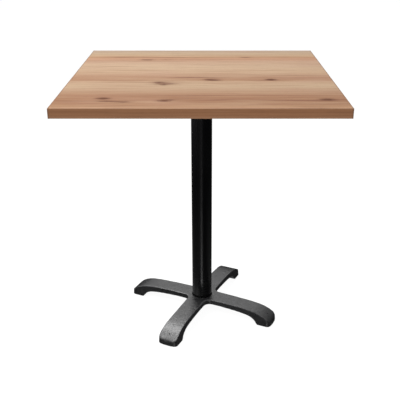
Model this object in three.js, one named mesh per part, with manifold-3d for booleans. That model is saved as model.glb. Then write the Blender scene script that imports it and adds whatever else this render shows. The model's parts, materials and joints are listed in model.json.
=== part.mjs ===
// Square bistro table: a laminated top on a round steel column and a cast four-leg foot.
// Millimetres, +Z up. The origin is on the floor under the middle of the top; X runs along the front edge.

import * as THREE from "three";
import { mergeVertices } from "three/addons/utils/BufferGeometryUtils.js";
import Module from "manifold-3d";

// ---------- driving dimensions ----------
const TOP_SIZE = 700; // side of the square top
const HEIGHT = 740; // floor to working surface
const CORE_T = 22; // chipboard
const LAMINATE_T = 0.8;
const GLUE = 0.2; // glue line between board, laminates and bands
const BAND_T = 2; // edge band
const REST = 0.3; // gap between pieces that bear on each other

const TUBE_R = 30; // column outer radius
const TUBE_WALL = 1.5;
const SPIGOT_R = 28.2; // the spigots that centre the tube

const LEG_ANGLE = 65; // degrees, direction of the back leg; the others follow every 90
const LEG_TIP = 240; // reach of a leg at the floor
const LEG_HALF = 27.5; // half width of a leg's top
const DRAFT = 3.5; // how much wider each side is at the floor than at the top
const LEG_FILLET = 20; // plan radius where two legs meet
const TIP_CORNER = 9;
const HUB_TOP = 47;
const CAST_BOTTOM = 1; // the casting clears the floor by this much
const SOCKET_Z = 44; // floor of the seat that the tube stands in
const CHANNEL_HALF = 21.5; // the hollow under each leg
const CHANNEL_IN = 40;
const CHANNEL_OUT = 172;

const SPIDER_TOP = HEIGHT - CORE_T - 2 * LAMINATE_T - 2 * GLUE - 0.2; // underside of the top, less a bearing gap
const SPIDER_T = 6;
const SPIDER_REACH = 150;
const SPIDER_COLLAR = 696; // lower end of the collar, where the tube stops
const SCREW_AT = [88, 132]; // screw positions along each spider arm

const ROD_R = 5; // M10 tie rod
const ROD_HOLE_R = 5.3;
const ROD_LOW = 22;
const GLIDE_AT = 217; // radius of the levelling glides
const STUD_R = 4; // M8
const PAD_R = 12.5;
const PAD_H = 6;

// ---------- solids ----------
const wasm = await Module();
wasm.setup();

const toSolid = (geometry) => {
  const g = geometry.clone();
  for (const name of Object.keys(g.attributes)) if (name !== "position") g.deleteAttribute(name);
  const merged = mergeVertices(g, 1e-4);
  const source = merged.index.array;
  let tris = [];
  for (let i = 0; i < source.length; i += 3) {
    const [a, b, c] = [source[i], source[i + 1], source[i + 2]];
    if (a !== b && b !== c && c !== a) tris.push(a, b, c);
  }
  const vertProperties = new Float32Array(merged.attributes.position.array);
  const build = (list) => new wasm.Manifold(new wasm.Mesh({ numProp: 3, vertProperties, triVerts: new Uint32Array(list) }));
  let made = build(tris);
  if (made.volume() < 0) {
    const turned = [];
    for (let i = 0; i < tris.length; i += 3) turned.push(tris[i], tris[i + 2], tris[i + 1]);
    made = build(turned);
  }
  return made;
};

const toGeometry = (solid) => {
  const m = solid.getMesh();
  const position = new Float32Array(m.numVert * 3);
  for (let i = 0; i < m.numVert; i++)
    for (let k = 0; k < 3; k++) position[3 * i + k] = m.vertProperties[i * m.numProp + k];
  const g = new THREE.BufferGeometry();
  g.setAttribute("position", new THREE.BufferAttribute(position, 3));
  g.setIndex(new THREE.BufferAttribute(new Uint32Array(m.triVerts), 1));
  g.computeVertexNormals();
  return g;
};

// A solid of revolution about Z from [radius, height] pairs.
const lathe = (profile, segments = 32) =>
  toSolid(new THREE.LatheGeometry(profile.map(([r, z]) => new THREE.Vector2(r, z)), segments).rotateX(Math.PI / 2));

const disc = (r, z0, z1, segments = 32) => lathe([[0, z0], [r, z0], [r, z1], [0, z1]], segments);

// A straight prism with its outline in the XY plane, from z0 to z1.
const prism = (points, z0, z1, holes = []) => {
  const shape = new THREE.Shape(points.map(([x, y]) => new THREE.Vector2(x, y)));
  for (const h of holes) shape.holes.push(new THREE.Path(h.map(([x, y]) => new THREE.Vector2(x, y))));
  return toSolid(new THREE.ExtrudeGeometry(shape, { depth: z1 - z0, bevelEnabled: false }).translate(0, 0, z0));
};

// A prism with its outline in the XZ plane and a given half width along Y.
const sideProfile = (points, half) => {
  const shape = new THREE.Shape(points.map(([x, z]) => new THREE.Vector2(x, z)));
  return toSolid(
    new THREE.ExtrudeGeometry(shape, { depth: 2 * half, bevelEnabled: false }).rotateX(Math.PI / 2).translate(0, half, 0),
  );
};

const box = (x0, x1, y0, y1, z0, z1) =>
  toSolid(new THREE.BoxGeometry(x1 - x0, y1 - y0, z1 - z0).translate((x0 + x1) / 2, (y0 + y1) / 2, (z0 + z1) / 2));

const circle = (r, n, turn = 0) =>
  Array.from({ length: n }, (_, i) => {
    const a = turn + (i / n) * 2 * Math.PI;
    return [r * Math.cos(a), r * Math.sin(a)];
  });

const turned = (solid, degrees) => solid.rotate([0, 0, degrees]);

// ---------- materials ----------
const material = (color, roughness, metalness) => new THREE.MeshStandardMaterial({ color, roughness, metalness });
const mat = {
  oak: () => material(0xc69c77, 0.5, 0),
  band: () => material(0x93643f, 0.5, 0),
  board: () => material(0xb08a5c, 0.9, 0),
  backing: () => material(0xd8d2c6, 0.6, 0),
  black: () => material(0x1c1c1d, 0.38, 0.5),
  zinc: () => material(0xb6b8ba, 0.32, 1),
  nylon: () => material(0x161616, 0.6, 0),
};

const piece = (name, solid, look) => {
  const mesh = new THREE.Mesh(toGeometry(solid), look);
  mesh.name = name;
  return mesh;
};

const table = new THREE.Group();

// ---------- the top ----------
const half = TOP_SIZE / 2;
const inner = half - BAND_T - GLUE; // half size of the board and laminates
const zUnder = HEIGHT - CORE_T - 2 * LAMINATE_T - 2 * GLUE; // underside of the top
const zCore0 = zUnder + LAMINATE_T + GLUE;
const zCore1 = zCore0 + CORE_T;
const SPIDER_TURN = 45;
const screwSpots = [];
for (let arm = 0; arm < 4; arm++)
  for (const r of SCREW_AT) {
    const a = THREE.MathUtils.degToRad(SPIDER_TURN + 90 * arm);
    screwSpots.push([r * Math.cos(a), r * Math.sin(a)]);
  }

let core = box(-inner, inner, -inner, inner, zCore0, zCore1);
let backing = box(-inner, inner, -inner, inner, zUnder, zUnder + LAMINATE_T);
for (const [x, y] of screwSpots) {
  core = core.subtract(disc(2.6, zCore0 - 1, zCore0 + 14, 14).translate([x, y, 0]));
  backing = backing.subtract(disc(2.6, zUnder - 1, zUnder + 2, 14).translate([x, y, 0]));
}

const topGroup = new THREE.Group();
topGroup.add(piece("chipboard_core", core, mat.board()));
topGroup.add(piece("top_laminate", box(-inner, inner, -inner, inner, HEIGHT - LAMINATE_T, HEIGHT), mat.oak()));
topGroup.add(piece("backing_laminate", backing, mat.backing()));
topGroup.add(piece("edge_band_front", box(-half, half, -half, -half + BAND_T, zUnder, HEIGHT), mat.band()));
topGroup.add(piece("edge_band_back", box(-half, half, half - BAND_T, half, zUnder, HEIGHT), mat.band()));
const side = half - BAND_T - GLUE;
topGroup.add(piece("edge_band_left", box(-half, -half + BAND_T, -side, side, zUnder, HEIGHT), mat.band()));
topGroup.add(piece("edge_band_right", box(half - BAND_T, half, -side, side, zUnder, HEIGHT), mat.band()));
table.add(topGroup);

// ---------- the spider that carries the top ----------
const arm = (() => {
  const tip = 13,
    root = 20,
    out = [[0, -root]];
  out.push([SPIDER_REACH - tip, -tip]);
  for (let i = 1; i < 8; i++) {
    const a = -Math.PI / 2 + (i / 8) * Math.PI;
    out.push([SPIDER_REACH - tip + tip * Math.cos(a), tip * Math.sin(a)]);
  }
  out.push([SPIDER_REACH - tip, tip], [0, root]);
  return prism(out, SPIDER_TOP - SPIDER_T, SPIDER_TOP);
})();
// The boss widens from the collar to the plate, and its spigot centres the tube.
let spider = lathe(
  [
    [0, SPIDER_COLLAR - 14],
    [SPIGOT_R - 1, SPIDER_COLLAR - 14],
    [SPIGOT_R, SPIDER_COLLAR - 13],
    [SPIGOT_R, SPIDER_COLLAR],
    [34, SPIDER_COLLAR],
    [34.6, SPIDER_COLLAR + 1],
    [34.6, SPIDER_COLLAR + 6],
    [37, SPIDER_COLLAR + 10],
    [43, SPIDER_TOP - SPIDER_T],
    [50, SPIDER_TOP - SPIDER_T],
    [50, SPIDER_TOP],
    [0, SPIDER_TOP],
  ],
  48,
);
for (let i = 0; i < 4; i++) spider = spider.add(turned(arm, 90 * i));
spider = spider.subtract(disc(ROD_HOLE_R, SPIDER_COLLAR - 20, SPIDER_TOP + 5, 24));
spider = spider.subtract(disc(15, SPIDER_TOP - 11, SPIDER_TOP + 5, 32)); // recess for the nut
spider = spider.subtract(
  lathe([[20, SPIDER_COLLAR - 20], [23, SPIDER_COLLAR - 20], [23, SPIDER_COLLAR - 2], [20, SPIDER_COLLAR - 2], [20, SPIDER_COLLAR - 20]], 32),
); // relief ring in the spigot
for (const r of SCREW_AT)
  for (let i = 0; i < 4; i++)
    spider = spider.subtract(turned(disc(2.9, SPIDER_TOP - 20, SPIDER_TOP + 5, 14).translate([r, 0, 0]), 90 * i));
const spiderGroup = new THREE.Group();
spiderGroup.rotation.z = THREE.MathUtils.degToRad(SPIDER_TURN);
spiderGroup.add(piece("top_spider", spider, mat.black()));

// ---------- wood screws, pan head up against the arm from below ----------
const screwProfile = (() => {
  const z = SPIDER_TOP - SPIDER_T - REST; // bearing face of the head
  return [
    [0, z - 3],
    [2.6, z - 2.8],
    [4.2, z - 1.9],
    [4.7, z - 0.9],
    [4.7, z],
    [2.2, z],
    [2.2, z + 15],
    [0.5, z + 19],
    [0, z + 19],
  ];
})();
for (let i = 0; i < 4; i++)
  SCREW_AT.forEach((r, j) => {
    const screw = piece("wood_screw_" + (2 * i + j + 1), lathe(screwProfile, 16), mat.zinc());
    const a = THREE.MathUtils.degToRad(90 * i);
    screw.position.set(r * Math.cos(a), r * Math.sin(a), 0);
    spiderGroup.add(screw);
  });
table.add(spiderGroup);

// ---------- column ----------
const tubeLow = SOCKET_Z + REST,
  tubeHigh = SPIDER_COLLAR - REST;
table.add(
  piece(
    "column_tube",
    lathe(
      [
        [TUBE_R - TUBE_WALL, tubeLow],
        [TUBE_R, tubeLow],
        [TUBE_R, tubeHigh],
        [TUBE_R - TUBE_WALL, tubeHigh],
        [TUBE_R - TUBE_WALL, tubeLow],
      ],
      64,
    ),
    mat.black(),
  ),
);

// ---------- tie rod, nuts and washers ----------
const hexNut = (z0, z1) => prism(circle(17 / Math.sqrt(3), 6), z0, z1, [circle(ROD_HOLE_R, 24)]);
const washer = (r, z0, z1) => prism(circle(r, 32), z0, z1, [circle(ROD_HOLE_R, 24)]);
const recessFloor = SPIDER_TOP - 11;
const rodHigh = recessFloor + 10.2;
table.add(
  piece(
    "tie_rod",
    lathe([[0, ROD_LOW], [ROD_R - 1, ROD_LOW], [ROD_R, ROD_LOW + 1], [ROD_R, rodHigh - 1], [ROD_R - 1, rodHigh], [0, rodHigh]], 24),
    mat.zinc(),
  ),
);
table.add(piece("upper_washer", washer(12, recessFloor + REST, recessFloor + REST + 2), mat.zinc()));
table.add(piece("upper_nut", hexNut(recessFloor + 2 * REST + 2, recessFloor + 2 * REST + 9.4), mat.zinc()));
const hubCeiling = 36; // ceiling of the hollow under the hub
table.add(piece("lower_washer", washer(16, hubCeiling - REST - 2.5, hubCeiling - REST), mat.zinc()));
table.add(piece("lower_nut", hexNut(hubCeiling - 2 * REST - 2.5 - 8, hubCeiling - 2 * REST - 2.5), mat.zinc()));

// ---------- the four-leg casting ----------
// Plan outline, at the height of the hub's top: each leg runs out along its own axis, with a fillet between legs.
const plan = [];
for (let leg = 0; leg < 4; leg++) {
  const reach = LEG_TIP - DRAFT,
    b = LEG_HALF,
    local = [];
  // fillet from the leg before to this leg's right side
  for (let i = 1; i < 10; i++) {
    const a = Math.PI - (i / 10) * (Math.PI / 2);
    local.push([b + LEG_FILLET + LEG_FILLET * Math.cos(a), -(b + LEG_FILLET) + LEG_FILLET * Math.sin(a)]);
  }
  local.push([b + LEG_FILLET, -b], [130, -b + 1.2], [reach - 30, -b]);
  // round corner, gently bowed end, round corner
  for (let i = 0; i <= 5; i++) {
    const a = -Math.PI / 2 + (i / 5) * (Math.PI / 2) * 0.94;
    local.push([reach - 2 - TIP_CORNER + TIP_CORNER * Math.cos(a), -b + TIP_CORNER + TIP_CORNER * Math.sin(a)]);
  }
  local.push([reach, -6], [reach, 6]);
  for (let i = 5; i >= 0; i--) {
    const a = Math.PI / 2 - (i / 5) * (Math.PI / 2) * 0.94;
    local.push([reach - 2 - TIP_CORNER + TIP_CORNER * Math.cos(a), b - TIP_CORNER + TIP_CORNER * Math.sin(a)]);
  }
  local.push([reach - 30, b], [130, b - 1.2], [b + LEG_FILLET, b]);
  const t = (leg * Math.PI) / 2;
  for (const [x, y] of local) plan.push(new THREE.Vector2(x * Math.cos(t) - y * Math.sin(t), x * Math.sin(t) + y * Math.cos(t)));
}
// The sides lean in by DRAFT from the floor to 50 mm up.
let casting = toSolid(
  new THREE.ExtrudeGeometry(new THREE.Shape(plan), {
    depth: 20,
    bevelEnabled: true,
    bevelThickness: 50,
    bevelSize: DRAFT,
    bevelSegments: 1,
  }).translate(0, 0, -20),
);

// Side view of a pair of opposite legs: a flat hub, a crowned back that drops to the tip, and an arch down to the foot pad.
const back = [[0, HUB_TOP], [66, HUB_TOP], [100, 46.6], [128, 45.7], [150, 44.8], [170, 43.1], [186, 40.8], [200, 37.4], [211, 33.3], [220, 28.7], [227.5, 23.9], [233.5, 18.9], [237.2, 14.6], [238.9, 11], [260, 11]];
const arch = [[0, 31.5], [70, 31.5], [104, 30.2], [134, 28.2], [154, 26], [168, 23.4], [178, 20], [185, 15.6], [190, 10.6], [194, 5.4], [197.5, CAST_BOTTOM], [260, CAST_BOTTOM]];
const mirrored = (list) => list.slice(1).map(([x, z]) => [-x, z]).reverse();
const outlineXZ = [...mirrored(back), ...back, ...arch.slice().reverse(), ...arch.slice(1).map(([x, z]) => [-x, z])];
const reachHalf = LEG_HALF + LEG_FILLET + 0.5;
const legPair = sideProfile(outlineXZ, reachHalf);
casting = casting.intersect(legPair.add(turned(legPair, 90)));

// Spigot that centres the tube, and the ring-shaped seat that the tube stands in.
casting = casting.add(lathe([[0, 38], [SPIGOT_R, 38], [SPIGOT_R, 57], [SPIGOT_R - 1.5, 59], [0, 59]], 64));
casting = casting.subtract(
  lathe([[SPIGOT_R, SOCKET_Z], [TUBE_R + REST, SOCKET_Z], [TUBE_R + REST, 70], [SPIGOT_R, 70], [SPIGOT_R, SOCKET_Z]], 64),
);

// Hollow under the hub, rod hole, and one channel under each leg.
casting = casting.subtract(disc(26, -5, hubCeiling, 40));
casting = casting.subtract(disc(ROD_HOLE_R, -5, 80, 24));
const channel = sideProfile(
  [
    [CHANNEL_IN, -5],
    [CHANNEL_OUT, -5],
    [CHANNEL_OUT, 34],
    [160, 37.6],
    [130, 39.8],
    [100, 41],
    [CHANNEL_IN, 41.4],
  ],
  CHANNEL_HALF,
);
for (let i = 0; i < 4; i++) casting = casting.subtract(turned(channel, 90 * i));

// Pocket and tapped hole for each levelling glide.
const pocket = disc(PAD_R + 1, -5, PAD_H + REST, 28).add(disc(STUD_R + REST, 0, 28, 20)).translate([GLIDE_AT, 0, 0]);
for (let i = 0; i < 4; i++) casting = casting.subtract(turned(pocket, 90 * i));

const baseGroup = new THREE.Group();
baseGroup.rotation.z = THREE.MathUtils.degToRad(LEG_ANGLE);
baseGroup.add(piece("base_casting", casting, mat.black()));

// ---------- levelling glides ----------
// The nylon pad snaps over the stud's flange, so it can stand still while the stud turns.
const padProfile = [
  [3.4, 0],
  [PAD_R - 1, 0],
  [PAD_R, 1],
  [PAD_R, PAD_H - 0.6],
  [PAD_R - 0.6, PAD_H],
  [STUD_R + 0.4, PAD_H],
  [STUD_R + 0.4, 4.6],
  [6.9, 4.6],
  [6.9, 1.6],
  [3.4, 1.6],
  [3.4, 0],
];
const studProfile = [
  [0, 1.9],
  [6.6, 1.9],
  [6.6, 4.3],
  [STUD_R, 4.3],
  [STUD_R, 25],
  [STUD_R - 1, 26],
  [0, 26],
];
const hexKey = prism(circle(4 / Math.sqrt(3), 6), 0, 5.5);
const legNames = ["back", "left", "front", "right"];
legNames.forEach((name, i) => {
  const legGroup = new THREE.Group();
  legGroup.rotation.z = (i * Math.PI) / 2;
  const pad = piece("glide_pad_" + name, lathe(padProfile, 32), mat.nylon());
  const stud = piece("glide_stud_" + name, lathe(studProfile, 24).subtract(hexKey), mat.zinc());
  pad.position.x = GLIDE_AT;
  stud.position.x = GLIDE_AT;
  legGroup.add(pad, stud);
  baseGroup.add(legGroup);
});
table.add(baseGroup);

export default table;
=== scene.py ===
"""Looks for the square bistro table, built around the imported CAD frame."""
import bpy, bmesh, json, math
import numpy as np
from mathutils import Vector, Matrix

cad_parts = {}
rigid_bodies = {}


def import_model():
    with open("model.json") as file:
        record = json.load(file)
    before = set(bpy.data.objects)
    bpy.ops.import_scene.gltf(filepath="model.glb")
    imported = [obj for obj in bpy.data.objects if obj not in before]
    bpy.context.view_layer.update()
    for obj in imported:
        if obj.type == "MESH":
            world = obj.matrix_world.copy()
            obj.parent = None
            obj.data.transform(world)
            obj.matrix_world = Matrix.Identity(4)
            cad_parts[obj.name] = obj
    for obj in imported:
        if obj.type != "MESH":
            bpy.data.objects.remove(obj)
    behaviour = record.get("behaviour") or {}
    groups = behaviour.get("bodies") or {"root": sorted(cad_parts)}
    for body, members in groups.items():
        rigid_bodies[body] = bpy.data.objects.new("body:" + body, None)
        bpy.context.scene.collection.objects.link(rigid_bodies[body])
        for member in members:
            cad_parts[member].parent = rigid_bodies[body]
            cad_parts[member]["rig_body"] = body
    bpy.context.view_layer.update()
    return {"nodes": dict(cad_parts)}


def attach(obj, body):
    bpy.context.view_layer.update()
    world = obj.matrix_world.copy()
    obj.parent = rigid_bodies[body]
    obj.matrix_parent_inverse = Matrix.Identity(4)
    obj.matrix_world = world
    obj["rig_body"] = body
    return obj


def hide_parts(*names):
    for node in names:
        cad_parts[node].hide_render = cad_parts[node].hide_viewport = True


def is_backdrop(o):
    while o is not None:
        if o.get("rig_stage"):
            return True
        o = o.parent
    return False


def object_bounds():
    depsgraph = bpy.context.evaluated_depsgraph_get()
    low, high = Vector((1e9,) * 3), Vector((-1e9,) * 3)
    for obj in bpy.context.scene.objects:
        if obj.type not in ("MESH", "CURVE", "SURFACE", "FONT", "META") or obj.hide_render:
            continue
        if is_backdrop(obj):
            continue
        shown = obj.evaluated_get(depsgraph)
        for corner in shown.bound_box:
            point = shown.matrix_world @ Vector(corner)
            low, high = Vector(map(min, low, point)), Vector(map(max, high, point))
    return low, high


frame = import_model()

MM = 0.001
scene = bpy.context.scene
for o in list(scene.objects):  # the startup cube, light and camera
    if "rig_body" not in o and not o.name.startswith("BODY") and o.type in {"LIGHT", "CAMERA"}:
        bpy.data.objects.remove(o)
cube = bpy.data.objects.get("Cube")
if cube is not None and "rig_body" not in cube:
    bpy.data.objects.remove(cube)

# ------------------------------------------------------------------ numbers shared with the CAD
HALF = 0.350
INNER = 0.3478
Z_TOP = 0.740
Z_UNDER = 0.716
TUBE_R, TUBE_IN = 30.0, 28.5
LEG_ANGLE = 65.0
LEG_NAMES = ["back", "left", "front", "right"]
GLIDE_AT = 217.0
SPIDER_TOP, SPIDER_T, COLLAR = 715.8, 6.0, 696.0
SCREW_AT = [88.0, 132.0]


def lin(r, g=None, b=None):
    """8-bit display colour to linear."""
    if g is None:
        r, g, b = r
    f = lambda c: (c / 255 / 12.92) if c <= 10.31 else (((c / 255) + 0.055) / 1.055) ** 2.4
    return (f(r), f(g), f(b))


# ------------------------------------------------------------------ mesh helpers (millimetres in, metres out)
def new_object(name, verts, faces, smooth=True):
    me = bpy.data.meshes.new(name)
    me.from_pydata([tuple(c * MM for c in v) for v in verts], [], faces)
    me.validate(clean_customdata=False)
    me.update()
    if smooth:
        me.shade_smooth()
    o = bpy.data.objects.new(name, me)
    scene.collection.objects.link(o)
    return o


def flip_out(o):
    bm = bmesh.new()
    bm.from_mesh(o.data)
    bmesh.ops.recalc_face_normals(bm, faces=bm.faces)
    bm.to_mesh(o.data)
    bm.free()
    o.data.update()
    return o


def lathe(name, profile, segs=96, centre=(0, 0), smooth=True):
    """profile: (radius, height) pairs. Closes on itself unless it starts and ends on the axis."""
    closed = profile[0][0] > 1e-9 or profile[-1][0] > 1e-9
    pts = profile[:-1] if closed and profile[0] == profile[-1] else profile
    verts, rings = [], []
    for r, z in pts:
        if r <= 1e-9:
            rings.append([len(verts)])
            verts.append((centre[0], centre[1], z))
        else:
            rings.append(list(range(len(verts), len(verts) + segs)))
            for i in range(segs):
                a = 2 * math.pi * i / segs
                verts.append((centre[0] + r * math.cos(a), centre[1] + r * math.sin(a), z))
    faces = []
    n = len(rings)
    for k in range(n if closed else n - 1):
        A, B = rings[k], rings[(k + 1) % n]
        if len(A) == 1 and len(B) == 1:
            continue
        for i in range(segs):
            j = (i + 1) % segs
            if len(A) == 1:
                faces.append((A[0], B[j], B[i]))
            elif len(B) == 1:
                faces.append((A[i], A[j], B[0]))
            else:
                faces.append((A[i], A[j], B[j], B[i]))
    return flip_out(new_object(name, verts, faces, smooth))


def prism(name, outline, z0, z1, outline_top=None):
    """A prism in XY. outline_top, if given, is the outline at z1 with the same number of points."""
    top = outline_top or outline
    n = len(outline)
    verts = [(x, y, z0) for x, y in outline] + [(x, y, z1) for x, y in top]
    faces = [tuple(range(n))[::-1], tuple(range(n, 2 * n))]
    faces += [(i, (i + 1) % n, n + (i + 1) % n, n + i) for i in range(n)]
    return flip_out(new_object(name, verts, faces, False))


def side_prism(name, outline, half):
    """A prism whose outline is in XZ, spanning -half..half along Y."""
    n = len(outline)
    verts = [(x, -half, z) for x, z in outline] + [(x, half, z) for x, z in outline]
    faces = [tuple(range(n)), tuple(range(n, 2 * n))[::-1]]
    faces += [(i, n + i, n + (i + 1) % n, (i + 1) % n) for i in range(n)]
    return flip_out(new_object(name, verts, faces, False))


def spin(o, degrees):
    o.data.transform(Matrix.Rotation(math.radians(degrees), 4, "Z"))
    return o


def shift(o, x=0, y=0, z=0):
    o.data.transform(Matrix.Translation((x * MM, y * MM, z * MM)))
    return o


def copy_of(o, name):
    c = bpy.data.objects.new(name, o.data.copy())
    scene.collection.objects.link(c)
    return c


def bake(o):
    """Applies the object's modifiers."""
    bpy.context.view_layer.update()
    dg = bpy.context.evaluated_depsgraph_get()
    me = bpy.data.meshes.new_from_object(o.evaluated_get(dg))
    old = o.data
    o.modifiers.clear()
    o.data = me
    me.name = o.name
    bpy.data.meshes.remove(old)
    return o


def boolean(o, others, op):
    for t in others:
        m = o.modifiers.new("b", "BOOLEAN")
        m.operation, m.solver, m.object = op, "EXACT", t
    bake(o)
    for t in others:
        bpy.data.objects.remove(t)
    return o


def cast(o, voxel, rounds, keep):
    """Gives a hard-edged solid the even small radii of a casting: a fine voxel skin, relaxed, then thinned out."""
    m = o.modifiers.new("r", "REMESH")
    m.mode, m.voxel_size, m.adaptivity = "VOXEL", voxel * MM, 0.0
    m = o.modifiers.new("s", "SMOOTH")
    m.factor, m.iterations = 0.5, rounds
    bake(o)
    if keep < 1:
        m = o.modifiers.new("d", "DECIMATE")
        m.ratio = keep
        bake(o)
    o.data.shade_smooth()
    return o


def join(o, parts):
    """Adds the parts' meshes to o's as separate shells."""
    bm = bmesh.new()
    bm.from_mesh(o.data)
    for p in parts:
        bm.from_mesh(p.data)
    bm.to_mesh(o.data)
    bm.free()
    for p in parts:
        bpy.data.objects.remove(p)
    o.data.shade_smooth()
    return o


def drop_slivers(o, smallest=40):
    """Removes stray islands that the skinning may leave."""
    bm = bmesh.new()
    bm.from_mesh(o.data)
    bm.verts.ensure_lookup_table()
    seen, islands = set(), []
    for v in bm.verts:
        if v.index in seen:
            continue
        stack, island = [v], []
        seen.add(v.index)
        while stack:
            w = stack.pop()
            island.append(w)
            for e in w.link_edges:
                u = e.other_vert(w)
                if u.index not in seen:
                    seen.add(u.index)
                    stack.append(u)
        islands.append(island)
    for island in islands:
        if len(island) < smallest:
            bmesh.ops.delete(bm, geom=island, context="VERTS")
    bm.to_mesh(o.data)
    bm.free()
    return o


def convexity_attribute(o, scale, name="convexity"):
    """Stores how convex the surface is at each point (0 flat or hollow, 1 a sharp outer edge)."""
    me = o.data
    n = len(me.vertices)
    co = np.zeros(n * 3)
    me.vertices.foreach_get("co", co)
    co = co.reshape(-1, 3)
    no = np.zeros(n * 3)
    me.vertices.foreach_get("normal", no)
    no = no.reshape(-1, 3)
    e = np.zeros(len(me.edges) * 2, int)
    me.edges.foreach_get("vertices", e)
    e = e.reshape(-1, 2)
    tot, cnt, length = np.zeros((n, 3)), np.zeros(n), np.zeros(n)
    d = np.linalg.norm(co[e[:, 0]] - co[e[:, 1]], axis=1)
    for a, b in ((0, 1), (1, 0)):
        np.add.at(tot, e[:, a], co[e[:, b]])
        np.add.at(cnt, e[:, a], 1)
        np.add.at(length, e[:, a], d)
    cnt = np.maximum(cnt, 1)
    h = length / cnt
    bend = -(((tot / cnt[:, None]) - co) * no).sum(1) / np.maximum(h, 1e-9) ** 2
    value = np.clip(bend * scale, -1, 1)
    for _ in range(3):  # even it out a little
        s = np.zeros(n)
        for a, b in ((0, 1), (1, 0)):
            np.add.at(s, e[:, a], value[e[:, b]])
        value = 0.5 * value + 0.5 * s / cnt
    att = me.attributes.get(name) or me.attributes.new(name, "FLOAT", "POINT")
    att.data.foreach_set("value", np.clip(value, 0, 1).astype(np.float32))
    return o


def smooth_curve(points, per=8):
    """Monotone cubic through (x, y) points with x rising."""
    x = np.array([p[0] for p in points], float)
    y = np.array([p[1] for p in points], float)
    h = np.diff(x)
    s = np.diff(y) / h
    m = np.zeros(len(x))
    for i in range(1, len(x) - 1):
        if s[i - 1] * s[i] > 0:
            w1, w2 = 2 * h[i] + h[i - 1], h[i] + 2 * h[i - 1]
            m[i] = (w1 + w2) / (w1 / s[i - 1] + w2 / s[i])
    m[0], m[-1] = s[0], s[-1]
    out = []
    for i in range(len(x) - 1):
        for k in range(per):
            t = k / per
            a, b = 2 * t**3 - 3 * t**2 + 1, t**3 - 2 * t**2 + t
            c, d = -2 * t**3 + 3 * t**2, t**3 - t**2
            out.append((x[i] + t * h[i], a * y[i] + b * h[i] * m[i] + c * y[i + 1] + d * h[i] * m[i + 1]))
    out.append((x[-1], y[-1]))
    return out


# ------------------------------------------------------------------ node graphs in plain arithmetic
class Val:
    def __init__(self, g, s):
        self.g, self.s = g, s

    def _m(self, op, *a, clamp=False):
        return self.g.math(op, self, *a, clamp=clamp)

    def __add__(self, o): return self._m("ADD", o)
    def __radd__(self, o): return self._m("ADD", o)
    def __sub__(self, o): return self._m("SUBTRACT", o)
    def __rsub__(self, o): return self.g.math("SUBTRACT", o, self)
    def __mul__(self, o): return self._m("MULTIPLY", o)
    def __rmul__(self, o): return self._m("MULTIPLY", o)
    def __truediv__(self, o): return self._m("DIVIDE", o)
    def __pow__(self, o): return self._m("POWER", o)
    def abs(self): return self._m("ABSOLUTE")
    def sin(self): return self._m("SINE")
    def min(self, o): return self._m("MINIMUM", o)
    def max(self, o): return self._m("MAXIMUM", o)
    def clamp(self): return self._m("ADD", 0.0, clamp=True)
    def smooth(self, a, b, lo=0.0, hi=1.0):
        n = self.g.node("ShaderNodeMapRange")
        n.interpolation_type = "SMOOTHSTEP"
        self.g.put(n.inputs["Value"], self)
        for k, v in (("From Min", a), ("From Max", b), ("To Min", lo), ("To Max", hi)):
            n.inputs[k].default_value = v
        return Val(self.g, n.outputs["Result"])


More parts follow.
